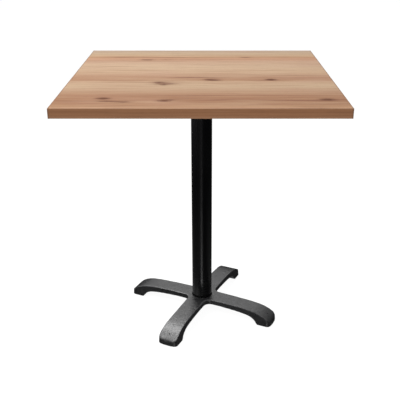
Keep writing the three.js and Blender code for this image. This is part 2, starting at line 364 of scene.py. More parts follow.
class Graph:
    def __init__(self, name):
        self.mat = bpy.data.materials.new(name)
        self.mat.use_nodes = True
        self.nt = self.mat.node_tree
        self.nt.nodes.clear()
        self.out = self.node("ShaderNodeOutputMaterial")
        tc = self.node("ShaderNodeTexCoord")
        self.pos = Val(self, tc.outputs["Object"])
        sep = self.node("ShaderNodeSeparateXYZ")
        self.nt.links.new(tc.outputs["Object"], sep.inputs[0])
        self.x, self.y, self.z = (Val(self, sep.outputs[i]) for i in range(3))

    def node(self, kind):
        return self.nt.nodes.new(kind)

    def put(self, socket, v):
        if isinstance(v, Val):
            self.nt.links.new(v.s, socket)
        elif isinstance(v, (tuple, list)) and len(v) == 3 and len(getattr(socket, "default_value", [0] * 3)) == 4:
            socket.default_value = (*v, 1)
        else:
            socket.default_value = v

    def math(self, op, *a, clamp=False):
        n = self.node("ShaderNodeMath")
        n.operation, n.use_clamp = op, clamp
        for i, v in enumerate(a):
            self.put(n.inputs[i], v)
        return Val(self, n.outputs[0])

    def vec(self, x, y, z):
        n = self.node("ShaderNodeCombineXYZ")
        for i, v in enumerate((x, y, z)):
            self.put(n.inputs[i], v)
        return Val(self, n.outputs[0])

    def scaled(self, v, scale, offset=(0, 0, 0)):
        n = self.node("ShaderNodeVectorMath")
        n.operation = "MULTIPLY_ADD"
        self.put(n.inputs[0], v)
        n.inputs[1].default_value = scale
        n.inputs[2].default_value = offset
        return Val(self, n.outputs[0])

    def noise(self, v, scale=1.0, detail=2.0, rough=0.5, distort=0.0):
        n = self.node("ShaderNodeTexNoise")
        self.put(n.inputs["Vector"], v)
        n.inputs["Scale"].default_value = scale
        n.inputs["Detail"].default_value = detail
        n.inputs["Roughness"].default_value = rough
        n.inputs["Distortion"].default_value = distort
        return Val(self, n.outputs["Fac"])

    def voronoi(self, v, scale=1.0, feature="F1"):
        n = self.node("ShaderNodeTexVoronoi")
        n.feature = feature
        self.put(n.inputs["Vector"], v)
        n.inputs["Scale"].default_value = scale
        return Val(self, n.outputs["Distance"]), Val(self, n.outputs["Color"])

    def attribute(self, name):
        n = self.node("ShaderNodeAttribute")
        n.attribute_name = name
        return Val(self, n.outputs["Fac"])

    def mix(self, fac, a, b, mode="MIX"):
        n = self.node("ShaderNodeMix")
        n.data_type, n.blend_type = "RGBA", mode
        n.clamp_factor = True
        self.put(n.inputs[0], fac)
        self.put(n.inputs[6], a)
        self.put(n.inputs[7], b)
        return Val(self, n.outputs[2])

    def ramp(self, fac, stops, smooth=False):
        n = self.node("ShaderNodeValToRGB")
        cr = n.color_ramp
        cr.interpolation = "EASE" if smooth else "LINEAR"
        while len(cr.elements) < len(stops):
            cr.elements.new(0.5)
        for e, (p, c) in zip(cr.elements, stops):
            e.position = p
        for e, (p, c) in zip(cr.elements, stops):
            e.position, e.color = p, (*c, 1)
        self.put(n.inputs[0], fac)
        return Val(self, n.outputs[0])

    def blob(self, v, centre, size):
        """exp(-d^2) round a point, with a size along X and Y."""
        s = (1 / size[0], 1 / size[1], 0)
        d = self.scaled(v, s, (-centre[0] * s[0], -centre[1] * s[1], 0))
        n = self.node("ShaderNodeVectorMath")
        n.operation = "DOT_PRODUCT"
        self.put(n.inputs[0], d)
        self.put(n.inputs[1], d)
        return self.math("POWER", 0.3679, Val(self, n.outputs["Value"]))

    def bump(self, height, strength, distance, normal=None):
        n = self.node("ShaderNodeBump")
        n.inputs["Strength"].default_value = strength
        n.inputs["Distance"].default_value = distance
        self.put(n.inputs["Height"], height)
        if normal is not None:
            self.put(n.inputs["Normal"], normal)
        return Val(self, n.outputs[0])

    def surface(self, colour, rough, normal=None, metallic=0.0, ior=1.5, spec=0.5, coat=0.0, coat_rough=0.1):
        b = self.node("ShaderNodeBsdfPrincipled")
        self.put(b.inputs["Base Color"], colour)
        self.put(b.inputs["Roughness"], rough)
        b.inputs["Metallic"].default_value = metallic
        b.inputs["IOR"].default_value = ior
        b.inputs["Specular IOR Level"].default_value = spec
        b.inputs["Coat Weight"].default_value = coat
        b.inputs["Coat Roughness"].default_value = coat_rough
        if normal is not None:
            self.put(b.inputs["Normal"], normal)
        self.nt.links.new(b.outputs[0], self.out.inputs[0])
        return self.mat


# ------------------------------------------------------------------ materials
def oak_surface():
    """Rustic oak print: four boards along X, each its own tone, with knots, brown streaks and fine fibres."""
    g = Graph("oak_laminate")
    # plan coordinates: u 0..1 from left to right, v 0..1 from the back edge to the front edge
    u = g.x * (1 / 0.7) + 0.5
    v = g.y * (-1 / 0.7) + 0.5
    flat = g.vec(u, v, 0.0)
    # slow wander of the grain lines
    wander = g.noise(g.scaled(flat, (2.2, 3.0, 1), (3.1, 7.7, 0)), 1, 2, 0.5) - 0.5
    wander2 = g.noise(g.scaled(flat, (7.0, 9.0, 1), (1.3, 2.9, 0)), 1, 2, 0.5) - 0.5
    w = v + wander * 0.030 + wander2 * 0.007
    # the grain opens up round each knot
    knots = [  # u, v, reach along the grain, reach across, strength
        (0.165, 0.872, 0.085, 0.030, 0.62),
        (0.375, 0.902, 0.060, 0.020, 0.5),
        (0.930, 0.886, 0.090, 0.024, 0.6),
        (0.350, 0.642, 0.075, 0.030, 0.6),
        (0.545, 0.596, 0.070, 0.020, 0.55),
        (0.765, 0.588, 0.080, 0.026, 0.65),
        (0.262, 0.214, 0.070, 0.026, 0.55),
        (0.690, 0.158, 0.060, 0.018, 0.5),
    ]
    for ku, kv, lu, lv, k in knots:
        near = g.blob(flat, (ku, kv), (lu, lv))
        w = w - (v - kv) * near * k
    line = g.vec(u, w, 0.0)

    # tone of each board across the depth: mostly the boards' own tones, but the front rows are painted a little darker
    # to offset the stronger light there, and the back rows a little lighter to offset the weaker light there
    T = lambda p, r, gg, b: (p, lin(r, gg, b))
    tone = g.ramp(
        w,
        [
            T(0.00, 202, 176, 152),
            T(0.075, 211, 182, 149),
            T(0.135, 214, 176, 137),
            T(0.165, 200, 151, 113),
            T(0.175, 213, 164, 128),
            T(0.215, 211, 164, 130),
            T(0.240, 210, 171, 140),
            T(0.340, 216, 184, 151),
            T(0.470, 208, 172, 138),
            T(0.515, 195, 154, 122),
            T(0.560, 185, 140, 107),
            T(0.600, 184, 140, 106),
            T(0.618, 200, 165, 132),
            T(0.700, 202, 171, 138),
            T(0.760, 190, 153, 121),
            T(0.790, 186, 146, 113),
            T(0.825, 172, 127, 93),
            T(0.870, 168, 121, 86),
            T(0.905, 160, 113, 78),
            T(0.930, 170, 125, 89),
            T(0.975, 179, 136, 100),
            T(1.000, 202, 159, 123),
        ],
    )
    # broad washes of warmer and paler wood within a board
    wash = g.noise(g.scaled(line, (2.6, 16.0, 1), (9.2, 1.4, 0)), 1, 3, 0.55)
    tone = g.mix(wash.smooth(0.50, 0.78) * 0.32, tone, lin(182, 134, 108))
    wash2 = g.noise(g.scaled(line, (1.9, 11.0, 1), (4.4, 8.3, 0)), 1, 2, 0.5)
    tone = g.mix(wash2.smooth(0.52, 0.80) * 0.30, tone, lin(222, 192, 158))
    hue = g.noise(g.scaled(line, (3.4, 7.0, 1), (6.1, 3.2, 0)), 1, 1, 0.5)
    tone = g.mix(hue.smooth(0.55, 0.85) * 0.22, tone, lin(206, 160, 142))

    # growth lines: medium streaks and fine fibres, both long in X
    streak = g.noise(g.scaled(line, (2.2, 62.0, 1), (2.0, 5.0, 0)), 1, 4, 0.62)
    tone = g.mix(streak.smooth(0.48, 0.72) * 0.50, tone, lin(150, 98, 66))
    tone = g.mix((1.0 - streak).smooth(0.55, 0.78) * 0.25, tone, lin(228, 200, 170))
    cathedral = ((line_y(g, line) * 210.0 + g.noise(g.scaled(flat, (3.0, 5.0, 1)), 1, 2, 0.5) * 26.0).sin() * 0.5 + 0.5)
    tone = g.mix(cathedral ** 3.0 * 0.10, tone, lin(140, 98, 74))
    fibre = g.noise(g.scaled(line, (9.0, 420.0, 1)), 1, 3, 0.6)
    tone = g.mix(fibre.smooth(0.48, 0.72) * 0.24, tone, lin(142, 94, 62))
    pores = g.noise(g.scaled(line, (34.0, 900.0, 1), (0, 3, 0)), 1, 2, 0.5)
    pore = pores.smooth(0.60, 0.72)
    tone = g.mix(pore * 0.30, tone, lin(118, 80, 58))

    # the front board is coarser, with brown lines close together
    front = v.smooth(0.76, 0.86)
    lines = g.noise(g.scaled(line, (2.6, 105.0, 1), (6, 2, 0)), 1, 3, 0.6)
    tone = g.mix(lines.smooth(0.50, 0.66) * front * 0.55, tone, lin(138, 84, 52))
    tone = g.mix((1.0 - lines).smooth(0.52, 0.70) * front * 0.30, tone, lin(206, 164, 128))
    # streaks and knots that lie at known places
    rag = g.noise(g.scaled(line, (26.0, 150.0, 1), (5, 9, 0)), 1, 3, 0.65)
    marks = [  # u, v, half length, half width, strength
        (0.36, 0.160, 0.28, 0.0060, 0.62), (0.40, 0.200, 0.20, 0.0180, 0.22), (0.86, 0.150, 0.17, 0.0045, 0.42), (0.14, 0.155, 0.05, 0.010, 0.30),
        (0.50, 0.205, 0.16, 0.0050, 0.22), (0.84, 0.215, 0.14, 0.0040, 0.25),
        (0.47, 0.553, 0.10, 0.0066, 0.95), (0.30, 0.598, 0.14, 0.0035, 0.35), (0.55, 0.575, 0.03, 0.014, 0.25),
        (0.90, 0.513, 0.11, 0.0050, 0.36), (0.73, 0.594, 0.07, 0.0040, 0.55), (0.83, 0.560, 0.16, 0.0090, 0.25),
        (0.27, 0.631, 0.08, 0.0035, 0.30), (0.36, 0.648, 0.055, 0.0240, 0.26), (0.46, 0.836, 0.20, 0.0050, 0.66), (0.80, 0.822, 0.20, 0.0040, 0.28),
        (0.86, 0.893, 0.17, 0.0055, 0.80), (0.57, 0.889, 0.045, 0.0060, 0.55), (0.06, 0.906, 0.10, 0.0050, 0.38),
        (0.45, 0.870, 0.06, 0.0050, 0.35), (0.62, 0.951, 0.42, 0.0028, 0.34), (0.45, 0.968, 0.30, 0.0022, 0.26),
        (0.75, 0.935, 0.25, 0.0026, 0.28), (0.30, 0.985, 0.30, 0.0020, 0.20), (0.55, 0.115, 0.25, 0.0050, 0.16),
    ]
    dark = None
    for mu, mv, lu, lv, k in marks:
        one = g.blob(line, (mu, mv), (lu, lv)) * k
        dark = one if dark is None else dark + one
    dark = dark * rag.smooth(0.25, 0.62, 0.45, 1.15)
    tone = g.mix(dark.clamp(), tone, lin(122, 70, 44))
    # knot hearts, with a paler ring of swirled wood outside
    spots = [
        (0.165, 0.870, 0.017, 0.0095, 1.0), (0.178, 0.905, 0.022, 0.0070, 0.42), (0.222, 0.909, 0.034, 0.0055, 0.48),
        (0.240, 0.924, 0.020, 0.0050, 0.34), (0.375, 0.901, 0.018, 0.0085, 0.80), (0.395, 0.887, 0.022, 0.0060, 0.35),
        (0.932, 0.884, 0.018, 0.0100, 0.95), (0.341, 0.634, 0.013, 0.0110, 0.46), (0.362, 0.668, 0.010, 0.0100, 0.38),
        (0.350, 0.650, 0.022, 0.0180, 0.26), (0.385, 0.655, 0.022, 0.0090, 0.30), (0.545, 0.596, 0.020, 0.0080, 0.92),
        (0.528, 0.583, 0.016, 0.0070, 0.45), (0.765, 0.588, 0.015, 0.0100, 1.0), (0.262, 0.214, 0.024, 0.0100, 0.50),
        (0.690, 0.159, 0.018, 0.0060, 0.55), (0.345, 0.212, 0.020, 0.0060, 0.25),
    ]
    ragged = g.noise(g.scaled(flat, (70.0, 70.0, 1)), 1, 3, 0.6) - 0.5
    flatter = g.vec(u + ragged * 0.016, v + ragged * 0.010, 0.0)
    heart = None
    for su, sv, lu, lv, k in spots:
        one = g.blob(flatter, (su, sv), (lu * 1.25, lv * 1.3)) * k
        heart = one if heart is None else heart + one
    tone = g.mix((heart * 1.35).clamp(), tone, lin(106, 54, 8))
    core = heart.smooth(0.78, 1.30)
    tone = g.mix(core * 0.65, tone, lin(58, 25, 5))
    ring = g.math("SINE", heart * 24.0) * 0.5 + 0.5
    tone = g.mix(ring * heart.smooth(0.05, 0.25) * (1.0 - heart.smooth(0.5, 0.8)) * 0.40, tone, lin(96, 50, 24))

    # surface: matt print with pores pressed in, a little duller where hands polish it less
    rough = 0.38 + (fibre - 0.5) * 0.10 + pore * 0.08 + (g.noise(g.scaled(flat, (5, 5, 1)), 1, 3, 0.6) - 0.5) * 0.10
    height = (fibre * 0.5 + streak * 0.35) - pore * 0.55 - heart.clamp() * 0.3
    nrm = g.bump(height, 0.35, 0.00012)
    return g.surface(tone, rough, nrm, spec=0.12)


def line_y(g, line):
    n = g.node("ShaderNodeSeparateXYZ")
    g.put(n.inputs[0], line)
    return Val(g, n.outputs[1])


def edge_band(name, along):
    """Brown wood-look band: fine lines that run along the edge, a painted highlight along the arrises and painted shade
    at the ends.
    """
    g = Graph(name)
    t = g.x if along == "x" else g.y
    z = g.z - 0.728
    p = g.vec(t, z, 0.0)
    wob = (g.noise(g.scaled(p, (7, 20, 1)), 1, 2, 0.5) - 0.5) * 0.0016
    q = g.vec(t, z + wob, 0.0)
    # tone by height across the band; the paler top stop is a painted highlight along the upper arris
    base = g.ramp(
        (z + wob) * (1 / 0.024) + 0.5,
        [(0.0, lin(140, 102, 74)), (0.16, lin(145, 104, 74)), (0.30, lin(135, 92, 61)), (0.45, lin(141, 98, 66)),
         (0.62, lin(132, 89, 58)), (0.85, lin(137, 94, 62)), (1.0, lin(146, 103, 72))],
    )
    a = g.noise(g.scaled(q, (4.0, 520.0, 1), (2, 3, 0)), 1, 4, 0.6)
    base = g.mix(a.smooth(0.46, 0.70) * 0.45, base, lin(104, 66, 42))
    b = g.noise(g.scaled(q, (3.0, 300.0, 1), (7, 1, 0)), 1, 3, 0.6)
    base = g.mix(b.smooth(0.52, 0.76) * 0.35, base, lin(168, 126, 92))
    c = g.noise(g.scaled(q, (40.0, 2200.0, 1)), 1, 2, 0.5)
    base = g.mix(c.smooth(0.58, 0.72) * 0.30, base, lin(88, 56, 36))
    # a warmer patch now and then along the length
    d = g.noise(g.scaled(p, (9.0, 30.0, 1), (1, 1, 0)), 1, 2, 0.5)
    base = g.mix(d.smooth(0.52, 0.80) * 0.30, base, lin(160, 106, 70))
    # ends: painted shade darkens the band towards the corners
    end = t.abs().smooth(0.3445, 0.3498)
    base = g.mix(end * 0.45, base, lin(70, 50, 38))
    # painted highlight: the top and bottom arrises are mixed towards a paler brown
    painted_arris_highlight = z.abs().smooth(0.0108, 0.0119)
    base = g.mix(painted_arris_highlight * 0.30, base, lin(176, 136, 104))
    rough = 0.46 + (a - 0.5) * 0.15
    return g.surface(base, rough, g.bump(a * 0.6 + c * 0.4, 0.3, 0.0001), spec=0.35)


def backing():
    g = Graph("backing_laminate")
    n = g.noise(g.scaled(g.pos, (260, 260, 260)), 1, 3, 0.6)
    s = g.noise(g.scaled(g.pos, (5, 5, 5)), 1, 3, 0.6)
    c = g.mix(n.smooth(0.4, 0.65) * 0.5, lin(52, 46, 42), lin(66, 59, 54))
    c = g.mix(s.smooth(0.45, 0.75) * 0.3, c, lin(78, 71, 65))
    return g.surface(c, 0.62 + (s - 0.5) * 0.2, g.bump(n, 0.25, 0.0001), spec=0.3)


def chipboard():
    g = Graph("chipboard")
    d, col = g.voronoi(g.scaled(g.pos, (420, 900, 420)), 1)
    n = g.noise(g.scaled(g.pos, (300, 700, 300)), 1, 3, 0.6)
    c = g.mix(n, lin(150, 112, 74), lin(206, 170, 124))
    c = g.mix(d.smooth(0.1, 0.5) * 0.4, c, lin(120, 86, 55))
    return g.surface(c, 0.85, g.bump(n, 0.5, 0.0004), spec=0.2)


def cast_coat():
    """Black powder coat on cast iron: pebbled, semi-gloss, the outer edges a shade lighter, partly rubbed and partly a
    painted highlight.
    """
    g = Graph("cast_coat")
    edge = g.attribute("convexity")
    pebble = g.noise(g.scaled(g.pos, (520, 520, 520)), 1, 2, 0.55)
    orange = g.noise(g.scaled(g.pos, (115, 115, 115)), 1, 3, 0.6)
    grit = g.noise(g.scaled(g.pos, (240, 240, 240)), 1, 3, 0.65)
    sand = g.noise(g.scaled(g.pos, (34, 34, 34)), 1, 3, 0.6)
    cloud = g.noise(g.scaled(g.pos, (11, 11, 11)), 1, 3, 0.55)
    c = g.mix(cloud.smooth(0.35, 0.7) * 0.5 + orange.smooth(0.4, 0.65) * 0.5, lin(18, 18, 19), lin(32, 32, 33))
    # outer edges a shade lighter: partly rubbed paint, partly a painted highlight standing in for light caught on the
    # rounded edges
    rubbed_and_painted_highlight = (edge * 1.3 * sand.smooth(0.35, 0.6, 0.55, 1.0) * g.z.smooth(0.022, 0.040, 0.30, 1.0)).clamp()
    c = g.mix(rubbed_and_painted_highlight * 0.75, c, lin(104, 104, 106))
    fleck = g.noise(g.scaled(g.pos, (900, 900, 900)), 1, 1, 0.5).smooth(0.66, 0.76)
    c = g.mix(fleck * 0.30, c, lin(70, 70, 72))
    rough = 0.32 + (cloud - 0.5) * 0.12 + (sand - 0.5) * 0.16 + (orange - 0.5) * 0.22 + (grit - 0.5) * 0.20 + rubbed_and_painted_highlight * 0.06
    nrm = g.bump(orange * 1.4 + grit * 0.7 + pebble * 0.3 + sand * 1.4, 0.75, 0.0008)
    return g.surface(c, rough, nrm, spec=0.8)


def column_coat():
    """Black powder coat on drawn tube: smoother than the casting, with a soft orange peel."""
    g = Graph("column_coat")
    peel = g.noise(g.scaled(g.pos, (240, 240, 120)), 1, 2, 0.5)
    fine = g.noise(g.scaled(g.pos, (900, 900, 900)), 1, 1, 0.5)
    cloud = g.noise(g.scaled(g.pos, (14, 14, 3.5)), 1, 3, 0.55)
    c = g.mix(cloud.smooth(0.35, 0.7), lin(3, 3, 4), lin(7, 7, 8))
    # faint rubbing marks near the foot, where shoes reach
    low = (1.0 - g.z.smooth(0.05, 0.20)) * g.noise(g.scaled(g.pos, (60, 60, 200)), 1, 3, 0.6).smooth(0.5, 0.75)
    c = g.mix(low * 0.25, c, lin(40, 40, 41))
    rough = 0.26 + (cloud - 0.5) * 0.10 + low * 0.06
    return g.surface(c, rough, g.bump(peel * 0.7 + fine * 0.3, 0.12, 0.0003), spec=0.4)


def zinc():
    g = Graph("zinc")
    n = g.noise(g.scaled(g.pos, (400, 400, 90)), 1, 3, 0.6)
    s = g.noise(g.scaled(g.pos, (90, 90, 90)), 1, 3, 0.6)
    c = g.mix(s, lin(176, 178, 180), lin(206, 204, 196))
    c = g.mix(n.smooth(0.55, 0.75) * 0.3, c, lin(150, 150, 148))
    return g.surface(c, 0.30 + (s - 0.5) * 0.18, g.bump(n, 0.2, 0.0001), metallic=1.0)


def nylon():
    g = Graph("nylon")
    n = g.noise(g.scaled(g.pos, (700, 700, 700)), 1, 2, 0.5)
    s = g.noise(g.scaled(g.pos, (60, 60, 60)), 1, 3, 0.6)
    c = g.mix(s.smooth(0.4, 0.7), lin(26, 26, 27), lin(38, 38, 38))
    scuff = (1.0 - g.z.smooth(0.0, 0.0012)) * s.smooth(0.4, 0.6)
    c = g.mix(scuff * 0.6, c, lin(96, 94, 90))
    return g.surface(c, 0.58 + (s - 0.5) * 0.15, g.bump(n, 0.25, 0.0001), spec=0.4)


MAT = {
    "oak_laminate": oak_surface(), "backing_laminate": backing(), "chipboard": chipboard(), "cast_coat": cast_coat(),
    "column_coat": column_coat(), "zinc": zinc(), "nylon": nylon(),
    "band_x": edge_band("edge_band_x", "x"), "band_y": edge_band("edge_band_y", "y"),
}


def dress(o, mat):
    o.data.materials.clear()
    o.data.materials.append(MAT[mat])
    return o


def stand_for(o, mat, slot, body, *nodes):
    dress(o, mat)
    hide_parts(*nodes)
    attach(o, body)
    return o


# ------------------------------------------------------------------ the top
def slab(name, lo, hi, radius, segments, only=None):
    """A board with rounded arrises. only(edge midpoint) picks the edges to round."""
    me = bpy.data.meshes.new(name)
    bm = bmesh.new()
    bmesh.ops.create_cube(bm, size=1.0)
    size, mid = [h - l for l, h in zip(lo, hi)], [(h + l) / 2 for l, h in zip(lo, hi)]
    for v in bm.verts:
        v.co = Vector([m + c * s for m, c, s in zip(mid, v.co, size)])
    edges = [e for e in bm.edges if only is None or only((e.verts[0].co + e.verts[1].co) / 2)]
    bmesh.ops.bevel(bm, geom=edges, offset=radius, segments=segments, profile=0.5, affect="EDGES", clamp_overlap=True)
    bmesh.ops.recalc_face_normals(bm, faces=bm.faces)
    bm.to_mesh(me)
    bm.free()
    for f in me.polygons:  # flats stay flat; only the arrises are shaded smooth
        n = f.normal
        f.use_smooth = max(abs(n.x), abs(n.y), abs(n.z)) < 0.9999
    o = bpy.data.objects.new(name, me)
    scene.collection.objects.link(o)
    return o


top = slab("oak_surface", (-INNER, -INNER, 0.7392), (INNER, INNER, 0.740), 0.00012, 2, lambda m: m.z > 0.7399)
stand_for(top, "oak_laminate", "oak_laminate", "root", "top_laminate")

B = 0.002
bands = {
    "edge_band_front": ((-HALF, -HALF, Z_UNDER), (HALF, -HALF + B, Z_TOP), "band_x", lambda m: m.y < -HALF + 0.0001 or (abs(m.x) > HALF - 0.0001 and m.y < -HALF + 0.0001)),
    "edge_band_back": ((-HALF, HALF - B, Z_UNDER), (HALF, HALF, Z_TOP), "band_x", lambda m: m.y > HALF - 0.0001),
    "edge_band_left": ((-HALF, -INNER, Z_UNDER), (-HALF + B, INNER, Z_TOP), "band_y", lambda m: m.x < -HALF + 0.0001 and abs(m.y) < 0.01),
    "edge_band_right": ((HALF - B, -INNER, Z_UNDER), (HALF, INNER, Z_TOP), "band_y", lambda m: m.x > HALF - 0.0001 and abs(m.y) < 0.01),
}
for node, (lo, hi, mat, only) in bands.items():
    stand_for(slab(node.replace("edge_band", "band"), lo, hi, 0.0007, 3, only), mat, "edge_band", "root", node)

dress(frame["nodes"]["chipboard_core"], "chipboard")
dress(frame["nodes"]["backing_laminate"], "backing_laminate")

# ------------------------------------------------------------------ column
c = 0.4
column = lathe(
    "column",
    [(TUBE_IN + c, 44.3), (TUBE_R - c, 44.3), (TUBE_R, 44.3 + c), (TUBE_R, 120), (TUBE_R, 370), (TUBE_R, 620), (TUBE_R, 695.7 - c),
     (TUBE_R - c, 695.7), (TUBE_IN + c, 695.7), (TUBE_IN, 695.7 - c), (TUBE_IN, 44.3 + c), (TUBE_IN + c, 44.3)],
    144,
)
stand_for(column, "column_coat", "column_coat", "root", "column_tube")

# ------------------------------------------------------------------ the four-leg casting
TIP, LEG_HALF, DRAFT, FILLET, CORNER, HUB = 240.0, 27.5, 3.5, 20.0, 9.0, 47.0


def leg_plan():
    """Plan outline at the hub's height, counter-clockwise."""
    pts = []
    reach, b = TIP - DRAFT, LEG_HALF
    for leg in range(4):
        local = []
        for i in range(1, 30):
            a = math.pi - (i / 30) * (math.pi / 2)
            local.append((b + FILLET + FILLET * math.cos(a), -(b + FILLET) + FILLET * math.sin(a)))
        for x, y in smooth_curve([(b + FILLET, -b), (96, -b + 0.7), (130, -b + 1.2), (170, -b + 0.8), (reach - 30, -b)], 5):
            local.append((x, y))
        for i in range(0, 15):
            a = -math.pi / 2 + (i / 14) * (math.pi / 2) * 0.94
            local.append((reach - 2 - CORNER + CORNER * math.cos(a), -b + CORNER + CORNER * math.sin(a)))
        half_end = [(reach - 0.6, -12), (reach - 0.15, -6), (reach, 0)]
        local += half_end
        right = [(x, y) for x, y in local if not (x == reach and y == 0)]
        lower = [p for p in right[29:]]
        local += [(x, -y) for x, y in reversed(lower)]
        t = leg * math.pi / 2
        pts += [(x * math.cos(t) - y * math.sin(t), x * math.sin(t) + y * math.cos(t)) for x, y in local]
    return pts


def offset(points, d):
    """Moves a closed outline out by d along its normals."""
    out, n = [], len(points)
    for i, p in enumerate(points):
        a, b = points[i - 1], points[(i + 1) % n]
        tx, ty = b[0] - a[0], b[1] - a[1]
        l = math.hypot(tx, ty)
        out.append((p[0] + ty / l * d, p[1] - tx / l * d))
    return out


plan = leg_plan()
back = smooth_curve(
    [(0, HUB), (40, HUB), (66, HUB), (100, 46.6), (128, 45.7), (150, 44.8), (170, 43.1), (186, 40.8), (200, 37.4), (211, 33.3),
     (220, 28.7), (227.5, 23.9), (233.5, 18.9), (237.2, 14.6), (238.9, 11)], 5) + [(260, 11)]
arch = smooth_curve(
    [(0, 31.5), (40, 31.5), (70, 31.5), (104, 30.2), (134, 28.2), (154, 26), (168, 23.4), (178, 20), (185, 15.6), (190, 10.6), (194, 5.4), (197.5, 1.0)], 5) + [(260, 1.0)]
mirror = lambda pts: [(-x, z) for x, z in reversed(pts[1:])]
side = mirror(back) + back + list(reversed(arch)) + [(-x, z) for x, z in arch[1:]]

casting = prism("foot", offset(plan, DRAFT), 0, 60, offset(plan, DRAFT * (1 - 60 / 50)))
pair = side_prism("pair", side, LEG_HALF + FILLET + 0.5)
other = spin(copy_of(pair, "pair2"), 90)
boolean(pair, [other], "UNION")
boolean(casting, [pair], "INTERSECT")
cuts = [lathe("cut", [(0, 44), (TUBE_R + 0.35, 44), (TUBE_R + 0.35, 70), (0, 70)], 96, smooth=False),
        lathe("cut", [(0, -5), (27, -5), (25.4, 36), (0, 36)], 72, smooth=False),
        lathe("cut", [(0, -5), (5.6, -5), (5.6, 80), (0, 80)], 32, smooth=False)]


def rounded(x0, x1, h, r, n=8):
    pts = []
    for cx, cy, a0 in ((x1 - r, -h + r, -90), (x1 - r, h - r, 0), (x0 + r, h - r, 90), (x0 + r, -h + r, 180)):
        for i in range(n + 1):
            a = math.radians(a0 + 90 * i / n)
            pts.append((cx + r * math.cos(a), cy + r * math.sin(a)))
    return pts


roof = [(30, -5), (180, -5), (180, 32.5), (172, 34.4), (160, 37.0), (145, 38.6), (130, 39.7), (100, 40.9), (60, 41.3), (30, 41.4)]
for i in range(4):
    ch = prism("channel", rounded(40, 172, 22.4, 7), -5, 60, rounded(41, 171, 20.6, 6.5))
    boolean(ch, [side_prism("roof", roof, 40)], "INTERSECT")
    cuts.append(spin(ch, 90 * i))
    cuts.append(spin(lathe("cut", [(0, -5), (13.6, -5), (13.5, 6.3), (0, 6.3)], 48, (GLIDE_AT, 0), False), 90 * i))
    cuts.append(spin(lathe("cut", [(0, -5), (4.4, -5), (4.4, 28), (0, 28)], 24, (GLIDE_AT, 0), False), 90 * i))
boolean(casting, cuts, "DIFFERENCE")
cast(casting, 1.25, 4, 0.4)
drop_slivers(casting)
join(casting, [lathe("spigot", [(0, 43.2), (28.1, 43.2), (28.2, 56.6), (27.6, 58), (26.4, 58.8), (5.5, 58.9), (0, 58.9)], 96)])
spin(casting, LEG_ANGLE)
casting.data.shade_smooth()
convexity_attribute(casting, 0.0032)
stand_for(casting, "cast_coat", "cast_coat", "root", "base_casting")

# ------------------------------------------------------------------ the spider under the top
z0, z1 = SPIDER_TOP - SPIDER_T, SPIDER_TOP
spider = lathe(
    "spider",
    [(0, COLLAR + 0.05), (33.4, COLLAR + 0.05), (34.6, COLLAR + 1.4)] + [(34.6, COLLAR + 5)]
    + [(34.6 + 12.4 * (1 - math.cos(t)), COLLAR + 5 + (z0 - COLLAR - 5) * math.sin(t)) for t in [math.pi / 2 * k / 8 for k in range(1, 9)]]
    + [(50, z0), (50, z1), (0, z1)],
    96, smooth=False,
)
arms = []
for i in range(4):
    out = [(0, -20)] + [(137 + 13 * math.cos(math.radians(a)), 13 * math.sin(math.radians(a))) for a in range(-90, 91, 10)] + [(0, 20)]
    low = [(0, -19)] + [(137 + 12 * math.cos(math.radians(a)), 12 * math.sin(math.radians(a))) for a in range(-90, 91, 10)] + [(0, 19)]
    arms.append(spin(prism("arm", low, z0, z1, out), 90 * i))
    rib = side_prism("rib", [(0, z0 + 1), (74, z0 + 1), (74, z0 - 2), (52, z0 - 5), (30, z0 - 8), (0, z0 - 8)], 3)
    arms.append(spin(rib, 90 * i))
boolean(spider, arms, "UNION")
cast(spider, 1.0, 4, 0.4)
drop_slivers(spider)
holes = [lathe("cut", [(0, 600), (5.6, 600), (5.6, 730), (0, 730)], 32, smooth=False), lathe("cut", [(0, z1 - 11), (15, z1 - 11), (15, 730), (0, 730)], 48, smooth=False)]
for i in range(4):
    for r in SCREW_AT:
        holes.append(spin(lathe("cut", [(0, 690), (2.9, 690), (2.9, 730), (0, 730)], 24, (r, 0), False), 90 * i))
boolean(spider, holes, "DIFFERENCE")  # the holes are drilled after casting, so their rims stay crisp
join(spider, [lathe("spigot", [(5.5, 682.2), (19.8, 682.2), (19.8, 695), (23.2, 695), (23.2, 682.2), (27.2, 682.2), (28.2, 683.2), (28.2, 697), (5.5, 697), (5.5, 682.2)], 96)])
spin(spider, 45)
spider.data.shade_smooth()
convexity_attribute(spider, 0.0028)
stand_for(spider, "cast_coat", "cast_coat", "root", "top_spider")


# ------------------------------------------------------------------ fasteners
def thread(name, r, pitch, z0, z1, segs=28, depth=None, lead=1.5, taper=0.0):
    """A rod with a real helical thread and chamfered ends, from z0 to z1."""
    depth = depth or 0.6 * pitch
    per = 6
    rows = int(math.ceil((z1 - z0) / pitch * per))
    verts, faces = [], []
    for k in range(rows + 1):
        z = z0 + (z1 - z0) * k / rows
        for i in range(segs):
            a = 2 * math.pi * i / segs
            f = (z / pitch - i / segs) % 1.0
            tri = abs(2 * f - 1)  # 1 at a crest
            tri = min(max((tri - 0.12) / 0.76, 0), 1)
            rr = r - depth * (1 - tri)
            end = min(z - z0, z1 - z)
            if end < lead:
                rr = min(rr, r - depth + (end / lead) * depth)
            rr -= taper * max(0.0, (z - z0) / (z1 - z0)) ** 3
            verts.append((rr * math.cos(a), rr * math.sin(a), z))
    for k in range(rows):
        for i in range(segs):
            j = (i + 1) % segs
            faces.append((k * segs + i, k * segs + j, (k + 1) * segs + j, (k + 1) * segs + i))
    low, high = len(verts), len(verts) + 1
    verts += [(0, 0, z0), (0, 0, z1)]
    for i in range(segs):
        j = (i + 1) % segs
        faces.append((low, j, i))
        faces.append((high, rows * segs + i, rows * segs + j))
    return flip_out(new_object(name, verts, faces, True))


def hexagon(across, n=6, turn=0.0):
    r = across / math.sqrt(3)
    return [(r * math.cos(math.radians(60 * i + turn)), r * math.sin(math.radians(60 * i + turn))) for i in range(n)]


